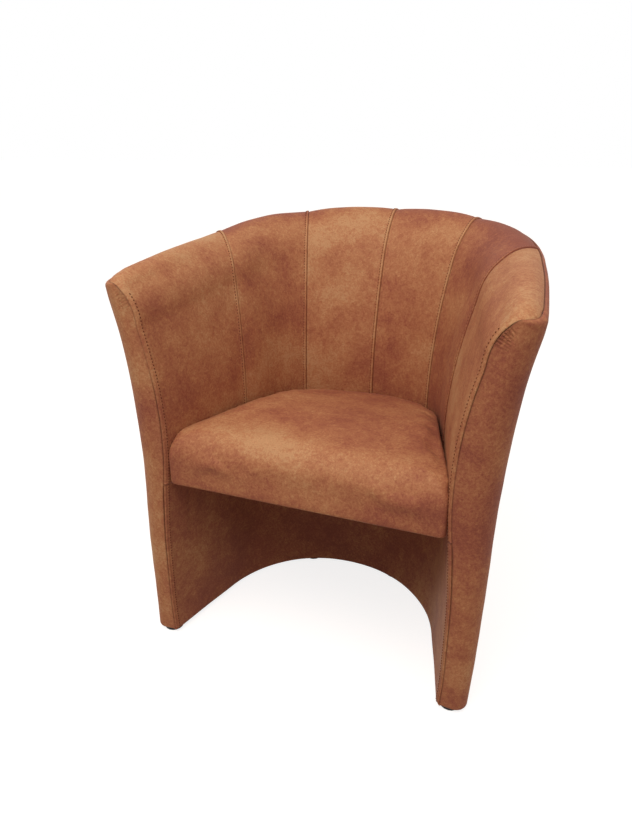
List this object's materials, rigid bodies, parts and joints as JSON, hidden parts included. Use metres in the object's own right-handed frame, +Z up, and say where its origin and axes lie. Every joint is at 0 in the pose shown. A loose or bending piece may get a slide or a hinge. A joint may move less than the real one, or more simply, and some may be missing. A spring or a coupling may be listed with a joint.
{
  "type": "upholstered tub armchair",
  "caption": "Upholstered tub armchair with a channelled back that rolls over the rim, closed sides, an open front under the seat and small round glides.",
  "frame": {"origin": "on the floor, in the middle of the width and of the depth", "axes": "+Z up, the sitter faces -Y, +X to the viewer's right when the front is seen"},
  "size_m": [0.6848, 0.617, 0.7629],
  "materials": {
    "cover": "soft matt",
    "foam": "matt",
    "wadding": "matt",
    "felt": "matt",
    "webbing": "matt",
    "lining_cloth": "matt",
    "hardboard": "matt",
    "frame_wood": "raw",
    "steel": "satin",
    "glide_plastic": "satin"
  },
  "bodies": {
    "root": {"base_rib": "frame_wood", "channel_pad_left_arm": "foam", "channel_pad_left_centre": "foam", "channel_pad_left_side": "foam", "channel_pad_right_arm": "foam", "channel_pad_right_centre": "foam", "channel_pad_right_side": "foam", "dust_cover": "lining_cloth", "front_foam_left": "foam", "front_foam_right": "foam", "front_post_left": "frame_wood", "front_post_right": "frame_wood", "glide_nails": "steel", "glides": "glide_plastic", "inner_cover_left_arm": "cover", "inner_cover_left_centre": "cover", "inner_cover_left_side": "cover", "inner_cover_right_arm": "cover", "inner_cover_right_centre": "cover", "inner_cover_right_side": "cover", "lower_cover": "cover", "lower_fleece": "wadding", "lower_lining": "hardboard", "lower_stud_left": "frame_wood", "lower_stud_rear": "frame_wood", "lower_stud_rear_left": "frame_wood", "lower_stud_rear_right": "frame_wood", "lower_stud_right": "frame_wood", "outer_cover_back": "cover", "outer_cover_left": "cover", "outer_cover_right": "cover", "outer_lining": "hardboard", "outer_wadding_back": "wadding", "outer_wadding_left": "wadding", "outer_wadding_right": "wadding", "seat_cover": "cover", "seat_felt": "felt", "seat_foam": "foam", "seat_frame": "frame_wood", "seat_rib": "frame_wood", "seat_screws": "steel", "top_rib": "frame_wood", "upper_lining": "hardboard", "upper_stud_left": "frame_wood", "upper_stud_rear": "frame_wood", "upper_stud_rear_left": "frame_wood", "upper_stud_rear_right": "frame_wood", "upper_stud_right": "frame_wood", "webbing_crosswise": "webbing", "webbing_lengthwise": "webbing"}
  },
  "joints": []
}
